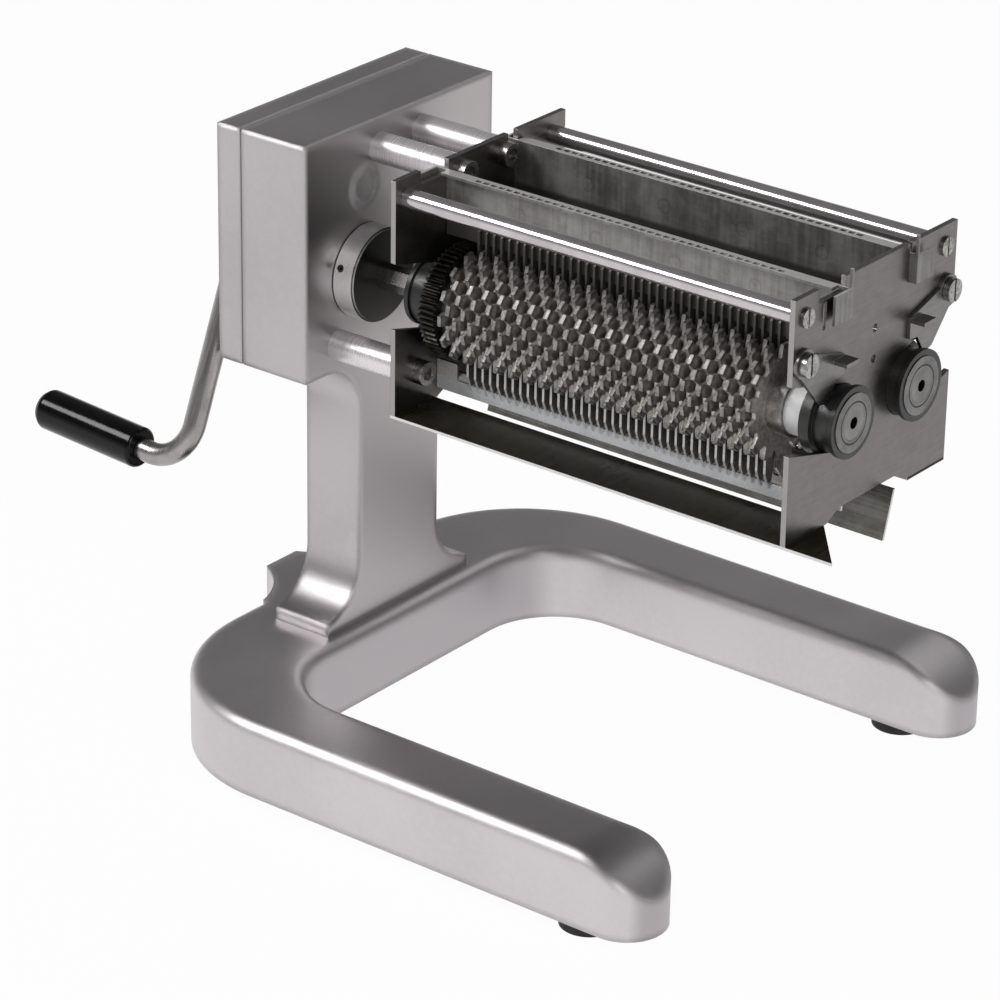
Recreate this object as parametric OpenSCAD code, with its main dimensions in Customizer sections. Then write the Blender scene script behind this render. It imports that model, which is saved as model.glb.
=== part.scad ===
// Hand cranked meat tenderizer. Two toothed rollers turn towards each other in a lift-open
// cassette, and a crank drives the left roller through a two-gear reduction.
// X runs along the rollers towards the front, Y to the right seen from the front, Z up.
// Lengths are in millimetres.

/* [Base casting] */
// Length of the base along the rollers
base_l = 332; // [300:1:360]
// Width over both legs
base_w = 316; // [290:1:340]
// Height of the casting
base_h = 41; // [34:1:48]
// Depth of the rear bar
bar_d = 65; // [58:1:80]
// Width of each leg
leg_w = 43; // [36:1:50]
// Radius of the two outer rear corners
corner_r = 88; // [70:1:92]
// Radius of the two inner corners
bay_r = 46; // [20:1:50]
// Rounding of the upper edges
edge_r = 5.5; // [3:0.5:6]
// Length of the sloping nose of each leg
nose_l = 22; // [10:1:34]
// Height of the tip of the nose
nose_h = 19; // [17:1:30]
// Reach of the rear lug
lug_l = 26; // [18:1:33]
// Width of the rear lug at its tip
lug_tip_w = 24; // [20:1:36]
// Width of the rear lug at its root
lug_root_w = 90; // [74:1:100]
// Wall left around the pockets under the base
base_wall = 7; // [5:0.5:10]

/* [Feet] */
// Diameter of a rubber foot
foot_d = 32; // [24:0.5:34]
// Thickness of a rubber foot
foot_t = 13; // [9:0.5:15]
// Depth of the seat that holds a foot
foot_sink = 4; // [2:0.5:5]
// Diameter of the foot screws
foot_screw_d = 5; // [4:0.5:6]

/* [Column] */
// Height from the base to the gear housing
column_h = 150; // [130:1:175]
// Width of the column
column_w = 64; // [56:1:70]
// Depth of the column
column_d = 36; // [30:1:40]
// Width of the column's foot
plinth_w = 116; // [104:1:130]
// Height of the straight edge of the foot
plinth_t = 6; // [4:0.5:10]
// Radius of the fillets at the foot
foot_fillet_r = 31; // [20:1:40]
// Radius of the fillets under the gear housing
head_fillet_r = 27; // [15:1:40]
// Distance from the column to the back of the base
column_set = 20; // [14:1:27]
// Diameter of the bolts that hold the column
column_bolt_d = 10; // [8:0.5:12]
// Distance between the column bolts
column_bolt_gap = 34; // [26:1:38]
// Length of the column bolts
column_bolt_l = 48; // [44:1:52]

/* [Gear housing] */
// Width of the gear housing
box_w = 150; // [138:1:164]
// Height of the gear housing
box_h = 128; // [122:1:140]
// Depth of the front half
housing_d = 42; // [38:1:50]
// Depth of the rear cover
cover_d = 15; // [14:0.5:20]
// Thickness of the gasket between them
gasket_t = 1; // [0.6:0.1:2]
// Wall of both halves
box_wall = 6; // [5:0.5:7]
// Diameter of the bosses for the cover screws
boss_d = 14; // [12:0.5:16]
// Diameter of the cover screws
cover_screw_d = 5; // [4:0.5:6]
// Length of the cover screws
cover_screw_l = 30; // [26:1:34]

/* [Cassette] */
// Length over both end plates
cassette_l = 242; // [236:1:256]
// Width of the end plates
plate_w = 137; // [130:1:150]
// Height of the end plates
plate_h = 126; // [122:1:134]
// Thickness of the end plates
plate_t = 3; // [2:0.5:4]
// Gap between the gear housing and the cassette
post_l = 50; // [46:1:60]
// Diameter of the posts across that gap
post_d = 16; // [12:0.5:18]
// Drop of the cassette below the gear housing
cassette_drop = 4.5; // [0:0.5:10]
// Sideways place of the two upper posts
upper_post_y = 17; // [15:0.5:18]
// Height of the upper posts above the plate's lower edge
upper_post_z = 117; // [112:0.5:117]
// Sideways place of the two lower posts
lower_post_y = 50; // [44:0.5:56]
// Height of the lower posts above the plate's lower edge
lower_post_z = 19; // [16:0.5:24]
// Diameter of the post bolts
post_bolt_d = 8; // [6:0.5:9]
// Diameter of the tie rods
tie_d = 10; // [8:0.5:11]
// Sideways place of the tie rods
tie_y = 59; // [56:0.5:60]
// Height of the tie rods above the plate's lower edge
tie_z = 115; // [110:0.5:116]
// Height of the shallow recess in the plates' lower edges
recess_h = 5; // [4.5:0.5:6]
// Diameter of the small holes in the front plate
pin_hole_d = 4; // [3:0.5:6]

/* [Rollers] */
// Module of the gears that join the rollers
roller_m = 1; // [0.98:0.01:1.03]
// Teeth on each of those gears
roller_n = 58; // [57:1:60]
// Width of those gears
roller_gear_w = 10; // [8:0.5:11]
// Height of the roller axes above the plate's lower edge
axis_h = 54; // [50:0.5:57]
// Diameter of the blade discs
blade_d = 60; // [54:0.5:62]
// Thickness of a blade disc
blade_t = 2.2; // [1.8:0.1:2.2]
// Distance between blade discs
blade_pitch = 4.8; // [4.6:0.1:4.9]
// Blade discs on each roller
blade_count = 40; // [30:2:40]
// Teeth on each blade disc
blade_teeth = 14; // [12:1:16]
// Height of the blade teeth
tooth_h = 6; // [4:0.5:7]
// Width of a blade tooth at its tip
tooth_tip_w = 5; // [3:0.5:5.5]
// Width of a blade tooth at its root
tooth_root_w = 8; // [6:0.5:8.5]
// Diameter of the spacers between the discs
spacer_d = 27; // [25:0.5:30]
// Width across flats of the roller core
core_af = 20; // [18:0.5:21]
// Diameter of the roller journals
journal_d = 17; // [15:0.5:17.5]
// Diameter of the end rings
end_ring_d = 32; // [30:0.5:36]
// Diameter of the thrust bushes
thrust_d = 28; // [26:0.5:32]
// Width across flats of the drive tongue
tongue_af = 12; // [10:0.5:13]

/* [Roller bearings] */
// Diameter of the bearing neck that sits in the slot
neck_d = 34; // [33:0.5:36]
// Diameter of the inner bearing flanges
flange_d = 40; // [38:0.5:43]
// Diameter of the outer bearing flanges
cap_flange_d = 36.5; // [36.5:0.5:39]
// Thickness of the outer flange
outer_flange_t = 2.5; // [2:0.5:4]
// Thickness of the inner flange
inner_flange_t = 6; // [4:0.5:7]
// Reach of the neck beyond the plate
neck_out = 6.5; // [5:0.5:9]
// Diameter of the steel sleeve
sleeve_d = 30; // [26:0.5:30]
// Rise of the slots towards their mouths
slot_rise_deg = 15; // [5:1:18]

/* [Combs and guides] */
// Thickness of the sheet parts
sheet_t = 1.5; // [1:0.1:2]
// Thickness of a comb finger
finger_t = 1.4; // [1:0.1:1.6]
// Distance of a hopper wall from the middle
wall_y = 28; // [26.5:0.5:29]
// Height of the hopper wall's lower edge
wall_z0 = 87; // [86.5:0.5:90]
// Height of the hopper wall's upper edge
wall_z1 = 121; // [116:0.5:124]
// Width of the slotted rim along the top of a hopper wall
rim_w = 5; // [4:0.5:6]
// Width of a finger
finger_w = 6; // [4:0.5:8]
// Sideways place of the outer lower combs
outer_comb_y = 34; // [32:0.5:35]
// Lower edge of the outer combs
outer_comb_z0 = 5; // [3:0.5:6]
// Upper edge of the outer combs' strip
outer_comb_z1 = 12; // [10:0.5:14]
// Sideways place of the exit combs at their top
exit_comb_y = 16; // [14:0.5:18]
// Sideways place of the right exit comb at its foot
exit_foot_y = 7; // [5:0.5:9]
// Reach of the right exit comb below the plates
exit_drop = 22; // [15:1:28]
// Rise of the exit combs above the plates' lower edge
exit_rise = 8; // [6:0.5:12]
// Inner edge of the guide sheets
guide_y = 36; // [35.5:0.5:42]
// Reach of the left guide sheet past the front plate
guide_tip = 27; // [15:1:35]
// Reach of the right exit comb past the front plate
exit_tip = 6; // [2:0.5:12]
// Distance of the comb hooks from the plates
hook_gap = 3; // [2.5:0.5:4]
// Width of the comb hooks
hook_w = 13; // [9:0.5:14]
// Lower edge of the comb hooks
hook_z0 = 106; // [105:0.5:109]
// Height of the comb hooks' upstand
hook_z1 = 131; // [128:0.5:135]

/* [Latches] */
// Sideways place of the latch pivots
latch_y = 61; // [59:0.5:62]
// Height of the latch pivots
latch_z = 92.5; // [92:0.5:94]
// Thickness of the latches
latch_t = 2; // [1.5:0.1:2]
// Radius of the round end of a latch
latch_r = 7.5; // [7:0.5:8]
// Reach of the latch arm
latch_l = 33; // [28:0.5:33]
// Depth of the bent finger tab
latch_tab = 8; // [5:0.5:10]
// Diameter of the pivot shank
latch_pin_d = 6; // [5:0.5:7]
// Diameter of the pivot head
latch_head_d = 12; // [10:0.5:13]

/* [Reduction and drive] */
// Module of the reduction gears
gear_m = 1.5; // [1.45:0.05:1.5]
// Teeth on the crank pinion
pinion_n = 15; // [14:1:16]
// Teeth on the drive wheel
wheel_n = 45; // [44:1:46]
// Width of the drive wheel
wheel_w = 12; // [10:0.5:14]
// Extra width of the pinion
pinion_extra = 4; // [2:0.5:6]
// Diameter of the crank shaft
crank_shaft_d = 14; // [12:0.5:14.5]
// Diameter of the drive shaft
drive_shaft_d = 18; // [16:0.5:19]
// Wall of the plain bearings
bush_wall = 3; // [2:0.5:3.5]
// Length of the plain bearings
bush_l = 10; // [8:0.5:11]
// Diameter of the coupling disc
coupling_d = 50; // [44:1:54]
// Thickness of the coupling disc
coupling_t = 12.5; // [11:0.5:15]

/* [Crank] */
// Distance from the shaft to the bend
crank_r = 165; // [140:1:175]
// Diameter of the crank bar
bar_rod_d = 12; // [10:0.5:13]
// Radius of the bend at the bar's centre
bend_r = 22; // [16:1:28]
// Angle of the bend
bend_deg = 93; // [85:1:95]
// Angle of the crank from straight down
crank_rest_deg = 22.5; // [0:0.5:45]
// Diameter of the crank hub
hub_d = 27; // [24:0.5:32]
// Gap between the hub and the cover
hub_gap = 2; // [1:0.5:4]
// Straight bar between the bend and the grip
neck_l = 7; // [3:0.5:14]
// Length of the grip
grip_l = 69; // [60:1:90]
// Diameter of the grip
grip_d = 22; // [20:0.5:28]

/* [Hidden] */
$fn = 64;
// Overrun of every cut, running gap of shafts, gap of bolts in holes and of loose fits
over = 1;
run_gap = 0.05;
fit_gap = 0.1;
loose_gap = 0.3;
thread_gap = 0.04;

// Heights from the table up
z_base = foot_t - foot_sink;
z_top = z_base + base_h;
z_box = z_top + column_h;
z_plate = z_box - cassette_drop;
z_axis = z_plate + axis_h;
roller_y = roller_m * roller_n / 2;
gear_gap = gear_m * (pinion_n + wheel_n) / 2;
z_crank = z_axis + gear_gap;

// Places along X, from the back of the rear plate
x_front = cassette_l;
x_in_rear = plate_t;
x_in_front = cassette_l - plate_t;
x_box1 = -post_l;
x_box0 = x_box1 - housing_d;
x_cover1 = x_box0 - gasket_t;
x_cover0 = x_cover1 - cover_d;
x_column0 = x_box1 - column_d;
x_base0 = x_column0 - column_set;
x_base1 = x_base0 + base_l;
x_bay = x_base0 + bar_d;
hub_skirt = 2;
hub_l = bar_rod_d + 2 * hub_skirt;
x_hub1 = x_cover0 - hub_gap;
x_hub0 = x_hub1 - hub_l;
x_bar = (x_hub0 + x_hub1) / 2;
grip_end_t = 6;
grip_round = 4;
stub_l = grip_l - grip_end_t;
bend_over = bend_deg - 90;
x_grip_end = x_bar - bend_r * (1 + sin(bend_over)) - (neck_l + grip_l - grip_round) * cos(bend_over)
    - (grip_d / 2 - grip_round) * sin(abs(bend_over)) - grip_round;
x_guide1 = x_front + guide_tip;
x_mid = (x_grip_end + max(x_guide1, x_base1)) / 2;

// Roller stack along X
gear_clear = 0.6;
x_gear0 = x_in_rear + inner_flange_t + gear_clear;
x_gear1 = x_gear0 + roller_gear_w;
rear_ring_t = 2.5;
x_blade0 = x_gear1 + rear_ring_t;
stack_l = (blade_count - 1) * blade_pitch + blade_t;
front_ring_t = 6.5;
x_core1 = x_blade0 + stack_l + blade_pitch / 2 + front_ring_t;
sleeve_out = 0.5;
x_journal1 = x_front + neck_out + outer_flange_t + sleeve_out;
x_journal0 = -neck_out - outer_flange_t - sleeve_out;
x_flange0 = x_in_front - inner_flange_t;
core_gap = 0.5;

// Coupling and drive shaft along X
coupling_gap = 0.5;
x_coupling1 = x_box1 + coupling_gap + coupling_t;
socket_depth = 5.5;
x_shaft1 = x_coupling1 - socket_depth;
wheel_clear = 5;
x_wheel1 = x_box1 - box_wall - bush_l / 2 - wheel_clear;
x_wheel0 = x_wheel1 - wheel_w;
x_wall_rear = x_cover0 + box_wall;
x_wall_front = x_box1 - box_wall;

// Screw heads: height, socket and countersink as shares of the thread diameter
head_d_share = 1.6;
head_h_share = 0.8;
hex_share = 0.8;
hex_depth_share = 0.45;

// Sizes that belong to single pieces
slot_w = neck_d + loose_gap;
mouth_ease = 0.05;
pressure_deg = 25;
flank_steps = 4;
backlash = 0.12;
tip_ease = 0.05;
leg_y = (base_w - leg_w) / 2;
x_leg_tip = x_base1 - leg_w / 2;
bay_w = base_w - 2 * leg_w;
nose_ease = 0.05;
nose_drop = base_h - nose_h;
nose_r = (pow(nose_l + leg_w / 2, 2) + nose_drop * nose_drop) / (2 * nose_drop);
lug_flare_y = (lug_root_w - lug_tip_w) / 2;
lug_chord = sqrt(lug_l * lug_l + lug_flare_y * lug_flare_y);
flare_share = 1.2;
flare_out = lug_chord * sqrt(flare_share * flare_share - 0.25);
corner_foot_r = corner_r - leg_w / 2;
foot_places = [
    [x_leg_tip - nose_l, leg_y],
    [x_base0 + corner_r - corner_foot_r * cos(45), base_w / 2 - corner_r + corner_foot_r * sin(45)]
];
boss_t = 10;
pocket_h = base_h - base_wall;
x_column_mid = x_box1 - column_d / 2;
bolt_bite = 16;
bolt_seat = base_h - column_bolt_l + bolt_bite;
foot_taper = 2;
foot_grip = 4;
boss_merge = 2;
column_lap = box_wall / 2;
boss_inset = box_wall + boss_d / 2 - boss_merge;
cover_screw_places = [
    [box_w / 2 - boss_inset, z_box + boss_inset],
    [box_w / 2 - boss_inset, z_crank],
    [box_w / 2 - boss_inset, z_box + box_h - boss_inset]
];
post_places = [
    [upper_post_y, z_plate + upper_post_z],
    [lower_post_y, z_plate + lower_post_z]
];
post_spigot_l = box_wall - over / 2;
crank_bush_d = crank_shaft_d + 2 * bush_wall;
drive_bush_d = drive_shaft_d + 2 * bush_wall;
bearing_wall = 4;
blind_t = 3;
post_bore_l = 16;
notch_w = sheet_t + 2 * loose_gap;
screw_r_share = 0.5;
slit_y = 44;
slit_z = 104;
slit_w = 2.5;
slit_h = 14;
top_notch_y = 49;
top_notch_h = 7;
rear_notch_w = 7;
recess_y = 34;
recess_slope_w = 10;
tie_screw_l = 12;
tie_sink = 1.6;
slot_t = 1.4;
finger_clear = 2;
rib_h = 10;
rim_bridge = 1.4;
rim_slot_w = 2.6;
comb_end_l = 13;
comb_end_h = 16;
comb_bare_w = 4;
edge_lap = 0.5;
edge_ease = 0.02;
outer_finger_z = axis_h - spacer_d / 2 - finger_clear;
bearing_l = inner_flange_t + plate_t + neck_out + outer_flange_t;
head_gap = 0.1;
latch_head_t = 3.5;
latch_arm_w = 11;
latch_seat_gap = 0.4;
hook_reach = 27;
latch_tab_w = 10;
latch_tab_drop = 2.5;
hook_run = hook_gap + sheet_t + plate_t + 2 * core_gap;
finger_z = axis_h + spacer_d / 2 + finger_clear;
hub_ring_w = 5;
set_d = 4;
wheel_hub_l = 8;
wheel_hub_d = drive_shaft_d + 2 * hub_ring_w;
coupling_set_deg = 70;
coupling_chamfer = 1;
centre_d = 6;
centre_l = 8;
pinion_hub_l = 8;
pinion_hub_d = crank_shaft_d + hub_ring_w;
x_pinion0 = x_wheel0 - pinion_extra / 2;
x_pinion1 = x_wheel1 + pinion_extra / 2;
weld_lap = 1;
bend_ease = 0.1;
grip_bore_d = 8;
washer_t = 1;
pin_screw_d = 4;
pin_screw_l = 12;
grip_play = 0.3;
grip_washer_rim = 5;

// Round bar along X between two places
module rod(x0, x1, y, z, d) {
    translate([x0 - x_mid, y, z]) rotate([0, 90, 0]) cylinder(d = d, h = x1 - x0);
}

// Outline drawn in Y and Z, extruded along X
module slab(x0, x1) {
    translate([x0 - x_mid, 0, 0]) rotate([90, 0, 90]) linear_extrude(height = x1 - x0) children();
}

// Box between two corners
module block(x0, x1, y0, y1, z0, z1) {
    translate([x0 - x_mid, y0, z0]) cube([x1 - x0, y1 - y0, z1 - z0]);
}

// Both sides of the machine
module both_sides() {
    children();
    mirror([0, 1, 0]) children();
}

// Hexagon drawn by its width across flats
module hexagon(af) {
    circle(d = af / cos(30), $fn = 6);
}

// Screw along X with a socket head; its head lies below x_seat when dir is 1
module socket_screw(x_seat, y, z, d, l, dir) {
    head_h = d * head_h_share;
    translate([x_seat - x_mid, y, z]) rotate([0, 90 * dir, 0]) difference() {
        union() {
            translate([0, 0, -head_h]) cylinder(d = d * head_d_share, h = head_h);
            cylinder(d = d, h = l);
        }
        translate([0, 0, -head_h - over])
            linear_extrude(height = over + d * hex_depth_share) hexagon(d * hex_share);
    }
}

// Involute spur gear outline with its first tooth pointing along the first axis
function involute(a) = tan(a) * 180 / PI - a;
function pressure_at(rb, r) = acos(min(1, rb / r));
function half_tooth(m, n, r) = 90 / n - backlash / (m * n) * 90 / PI + involute(pressure_deg)
    - involute(pressure_at(m * n / 2 * cos(pressure_deg), r));
function polar(r, a) = [r * cos(a), r * sin(a)];
function flank_r(m, n, k) = let (r0 = max(m * n / 2 * cos(pressure_deg), m * n / 2 - 1.25 * m),
    r1 = m * n / 2 + m * (1 - tip_ease)) r0 + (r1 - r0) * k / flank_steps;
function tooth_points(m, n, a) = concat(
    [polar(m * n / 2 - 1.25 * m, a - half_tooth(m, n, flank_r(m, n, 0)))],
    [for (k = [0:flank_steps]) polar(flank_r(m, n, k), a - half_tooth(m, n, flank_r(m, n, k)))],
    [for (k = [flank_steps:-1:0]) polar(flank_r(m, n, k), a + half_tooth(m, n, flank_r(m, n, k)))],
    [polar(m * n / 2 - 1.25 * m, a + half_tooth(m, n, flank_r(m, n, 0)))]);
module gear_outline(m, n) {
    polygon([for (i = [0:n - 1]) each tooth_points(m, n, 360 * i / n)]);
}

// Section of the material taken off a rounded upper edge; the casting lies on the +X side
module edge_cut() {
    difference() {
        translate([-over, -edge_r]) square([edge_r + over, edge_r + over]);
        translate([edge_r, -edge_r]) circle(edge_r);
    }
}

// Straight edge cut from a point, turned about Z, with the casting on its left; it laps the
// arcs at both ends and stands off them by a hair
module edge_run(x, y, turn_deg, l) {
    translate([x - x_mid, y, z_top]) rotate([90, 0, turn_deg + 90]) translate([0, 0, -edge_lap])
        linear_extrude(height = l + 2 * edge_lap) translate([-edge_ease, edge_ease]) edge_cut();
}

// Edge cut round a centre; the casting lies outside the radius when out is true
module edge_arc(x, y, r, from_deg, sweep_deg, out) {
    translate([x - x_mid, y, z_top]) rotate([0, 0, from_deg]) rotate_extrude(angle = sweep_deg)
        translate([r, 0]) mirror([out ? 0 : 1, 0]) edge_cut();
}

// Rear lug, flush with the top of the bar that carries it
module lug() {
    flare_x = x_base0 - lug_l / 2 - flare_out * lug_flare_y / lug_chord;
    flare_y = (lug_root_w + lug_tip_w) / 4 + flare_out * lug_l / lug_chord;
    translate([-x_mid, 0, z_base]) linear_extrude(height = base_h) difference() {
        translate([x_base0 - lug_l, -lug_root_w / 2]) square([lug_l + base_wall, lug_root_w]);
        for (side = [-1, 1]) translate([flare_x, side * flare_y]) circle(lug_chord * flare_share);
    }
}

module base_outline() {
    side_y = base_w / 2 - corner_r;
    difference() {
        union() {
            translate([x_base0 + corner_r, -base_w / 2]) square([x_leg_tip - x_base0 - corner_r, base_w]);
            translate([x_base0, -side_y]) square([corner_r + over, 2 * side_y]);
            for (side = [-1, 1]) {
                translate([x_base0 + corner_r, side * side_y]) circle(corner_r);
                translate([x_leg_tip, side * leg_y]) circle(leg_w / 2);
            }
        }
        translate([x_bay + bay_r, -bay_w / 2]) square([base_l, bay_w]);
        translate([x_bay, bay_r - bay_w / 2]) square([bay_r + over, bay_w - 2 * bay_r]);
        for (side = [-1, 1]) translate([x_bay + bay_r, side * (bay_w / 2 - bay_r)]) circle(bay_r);
    }
}

module base_edges() {
    bay_corner_y = bay_w / 2 - bay_r;
    both_sides() {
        edge_run(x_leg_tip, base_w / 2, 180, x_leg_tip - x_base0 - corner_r);
        edge_arc(x_base0 + corner_r, base_w / 2 - corner_r, corner_r, 90, 90, false);
        edge_run(x_bay + bay_r, bay_w / 2, 0, x_leg_tip - x_bay - bay_r);
        edge_arc(x_bay + bay_r, bay_corner_y, bay_r, 90, 90, true);
        edge_arc(x_leg_tip, leg_y, leg_w / 2, 270, 180, false);
        translate([x_leg_tip - x_mid, 0, z_base]) rotate([90, 0, 0])
            linear_extrude(height = 2 * base_w, center = true) difference() {
                translate([-nose_l, nose_h - over])
                    square([nose_l + leg_w / 2 + over, base_h - nose_h + 2 * over]);
                translate([-nose_l, base_h + nose_ease - nose_r]) circle(nose_r, $fn = 96);
            }
    }
    edge_run(x_base0, base_w / 2 - corner_r, 270, base_w - 2 * corner_r);
    edge_run(x_bay, -bay_corner_y, 90, 2 * bay_corner_y);
}

module base_pockets() {
    leg_pocket_w = leg_w - 2 * base_wall;
    x_pocket0 = x_base0 + corner_r + base_wall;
    x_pocket1 = foot_places[0][0] - foot_d / 2 - base_wall;
    block(x_pocket0, x_pocket1, base_w / 2 - base_wall - leg_pocket_w, base_w / 2 - base_wall,
        z_base - over, z_base + pocket_h);
}

module base_casting() {
    color("silver") difference() {
        union() {
            difference() {
                translate([-x_mid, 0, z_base]) linear_extrude(height = base_h) base_outline();
                base_edges();
            }
            lug();
        }
        both_sides() {
            base_pockets();
            for (p = foot_places) translate([p[0] - x_mid, p[1], z_base - over]) {
                cylinder(d = foot_d + 2 * fit_gap, h = foot_sink + over);
                cylinder(d = foot_screw_d + 2 * thread_gap, h = foot_sink + over + boss_t);
            }
            translate([x_column_mid - x_mid, column_bolt_gap / 2, z_base - over]) {
                cylinder(d = column_bolt_d + 2 * fit_gap, h = base_h + 2 * over);
                cylinder(d = column_bolt_d * head_d_share + 2 * loose_gap, h = bolt_seat + over);
            }
        }
    }
}

module foot_pads() {
    recess_d = foot_screw_d * head_d_share + 2 * loose_gap;
    color("dimgray") both_sides() for (p = foot_places) translate([p[0] - x_mid, p[1], 0]) difference() {
        cylinder(d1 = foot_d - foot_taper, d2 = foot_d, h = foot_t);
        translate([0, 0, -over]) cylinder(d = recess_d, h = foot_t - foot_grip + over);
        translate([0, 0, -over]) cylinder(d = foot_screw_d + 2 * fit_gap, h = foot_t + 2 * over);
    }
}

module foot_screws() {
    head_h = foot_screw_d * head_h_share;
    color("gainsboro") both_sides() for (p = foot_places)
        translate([p[0] - x_mid, p[1], foot_t - foot_grip - head_h]) difference() {
            union() {
                cylinder(d = foot_screw_d * head_d_share, h = head_h);
                translate([0, 0, head_h]) cylinder(d = foot_screw_d, h = foot_grip + boss_t - over);
            }
            translate([0, 0, -over]) linear_extrude(height = over + foot_screw_d * hex_depth_share)
                hexagon(foot_screw_d * hex_share);
        }
}

module column_bolts() {
    head_h = column_bolt_d * head_h_share;
    color("gainsboro") both_sides()
        translate([x_column_mid - x_mid, column_bolt_gap / 2, z_base + bolt_seat]) difference() {
            union() {
                translate([0, 0, -head_h]) cylinder(d = column_bolt_d * head_d_share, h = head_h);
                cylinder(d = column_bolt_d, h = column_bolt_l - over);
            }
            translate([0, 0, -head_h - over])
                linear_extrude(height = over + column_bolt_d * hex_depth_share)
                    hexagon(column_bolt_d * hex_share);
        }
}

// Outline of the column from the base to the gear housing
module column_outline() {
    difference() {
        union() {
            translate([-column_w / 2, z_top]) square([column_w, column_h + column_lap]);
            translate([-plinth_w / 2, z_top]) square([plinth_w, plinth_t + foot_fillet_r]);
            translate([-column_w / 2 - head_fillet_r, z_box - head_fillet_r])
                square([column_w + 2 * head_fillet_r, head_fillet_r + column_lap]);
        }
        for (side = [-1, 1]) {
            translate([side * (column_w / 2 + foot_fillet_r), z_top + plinth_t + foot_fillet_r])
                circle(foot_fillet_r, $fn = 96);
            translate([side * (column_w / 2 + foot_fillet_r) - (side > 0 ? 0 : plinth_w),
                z_top + plinth_t]) square([plinth_w, foot_fillet_r + over]);
            translate([side * (column_w / 2 + head_fillet_r), z_box - head_fillet_r])
                circle(head_fillet_r, $fn = 96);
        }
    }
}

module shell_bosses(x0, x1) {
    both_sides() for (p = cover_screw_places) rod(x0, x1, p[0], p[1], boss_d);
}

module gear_housing() {
    x_bearing = x_box1 - box_wall - bush_l / 2;
    color("silver") difference() {
        union() {
            difference() {
                block(x_box0, x_box1, -box_w / 2, box_w / 2, z_box, z_box + box_h);
                block(x_box0 - over, x_wall_front, -box_w / 2 + box_wall, box_w / 2 - box_wall,
                    z_box + box_wall, z_box + box_h - box_wall);
            }
            shell_bosses(x_box0, x_wall_front + over);
            rod(x_bearing, x_wall_front + over, -roller_y, z_crank, crank_bush_d + 2 * bearing_wall);
            rod(x_bearing, x_wall_front + over, -roller_y, z_axis, drive_bush_d + 2 * bearing_wall);
            slab(x_column0, x_box1) column_outline();
        }
        both_sides() {
            for (p = cover_screw_places)
                rod(x_box0 - over, x_box0 + cover_screw_l, p[0], p[1], cover_screw_d + 2 * thread_gap);
            for (p = post_places)
                rod(x_wall_front - over, x_box1 + over, p[0], p[1], post_bolt_d + 2 * thread_gap);
            translate([x_column_mid - x_mid, column_bolt_gap / 2, z_top - over])
                cylinder(d = column_bolt_d + 2 * thread_gap, h = bolt_bite + over);
        }
        rod(x_bearing - over, x_bearing + bush_l, -roller_y, z_crank, crank_bush_d);
        rod(x_bearing - over, x_box1 + over, -roller_y, z_axis, drive_bush_d);
    }
}

module cover_gasket() {
    seal_w = box_wall;
    color("dimgray") difference() {
        block(x_cover1, x_box0, -box_w / 2 + over, box_w / 2 - over, z_box + over,
            z_box + box_h - over);
        block(x_cover1 - over, x_box0 + over, -box_w / 2 + seal_w, box_w / 2 - seal_w,
            z_box + seal_w, z_box + box_h - seal_w);
        both_sides() for (p = cover_screw_places)
            rod(x_cover1 - over, x_box0 + over, p[0], p[1], cover_screw_d + 2 * loose_gap);
    }
}

module rear_cover() {
    x_bearing = x_cover0 + bush_l;
    head_h = cover_screw_d * head_h_share;
    color("silver") difference() {
        union() {
            difference() {
                block(x_cover0, x_cover1, -box_w / 2, box_w / 2, z_box, z_box + box_h);
                block(x_wall_rear, x_cover1 + over, -box_w / 2 + box_wall, box_w / 2 - box_wall,
                    z_box + box_wall, z_box + box_h - box_wall);
            }
            shell_bosses(x_wall_rear - over, x_cover1);
            rod(x_wall_rear - over, x_bearing, -roller_y, z_crank, crank_bush_d + 2 * bearing_wall);
            rod(x_wall_rear - over, x_bearing + blind_t, -roller_y, z_axis,
                drive_bush_d + 2 * bearing_wall);
        }
        both_sides() for (p = cover_screw_places) {
            rod(x_cover0 - over, x_cover1 + over, p[0], p[1], cover_screw_d + 2 * fit_gap);
            rod(x_cover0 - over, x_cover0 + head_h + loose_gap, p[0], p[1],
                cover_screw_d * head_d_share + 2 * loose_gap);
        }
        rod(x_cover0 - over, x_bearing + over, -roller_y, z_crank, crank_bush_d);
        rod(x_cover0 + blind_t, x_bearing + blind_t + over, -roller_y, z_axis, drive_bush_d);
    }
}

module cover_screws() {
    x_seat = x_cover0 + cover_screw_d * head_h_share + loose_gap;
    color("gainsboro") both_sides() for (p = cover_screw_places)
        socket_screw(x_seat, p[0], p[1], cover_screw_d, cover_screw_l, 1);
}

// Plain bearing along X
module bush(x0, z, shaft_d) {
    difference() {
        rod(x0, x0 + bush_l, -roller_y, z, shaft_d + 2 * bush_wall);
        rod(x0 - over, x0 + bush_l + over, -roller_y, z, shaft_d + 2 * run_gap);
    }
}

module crank_bushes() {
    color("goldenrod") {
        bush(x_cover0, z_crank, crank_shaft_d);
        bush(x_box1 - box_wall - bush_l / 2, z_crank, crank_shaft_d);
    }
}

module drive_bushes() {
    color("goldenrod") {
        bush(x_cover0 + blind_t, z_axis, drive_shaft_d);
        bush(x_box1 - bush_l, z_axis, drive_shaft_d);
    }
}

module spacer_posts() {
    color("lightgray") both_sides() for (p = post_places) difference() {
        union() {
            rod(x_box1, 0, p[0], p[1], post_d);
            rod(x_box1 - post_spigot_l, x_box1, p[0], p[1], post_bolt_d);
        }
        rod(-post_bore_l, over, p[0], p[1], post_bolt_d + 2 * thread_gap);
    }
}

module post_bolts() {
    color("gainsboro") both_sides() for (p = post_places)
        socket_screw(plate_t, p[0], p[1], post_bolt_d, post_bore_l + plate_t - over, -1);
}

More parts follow.
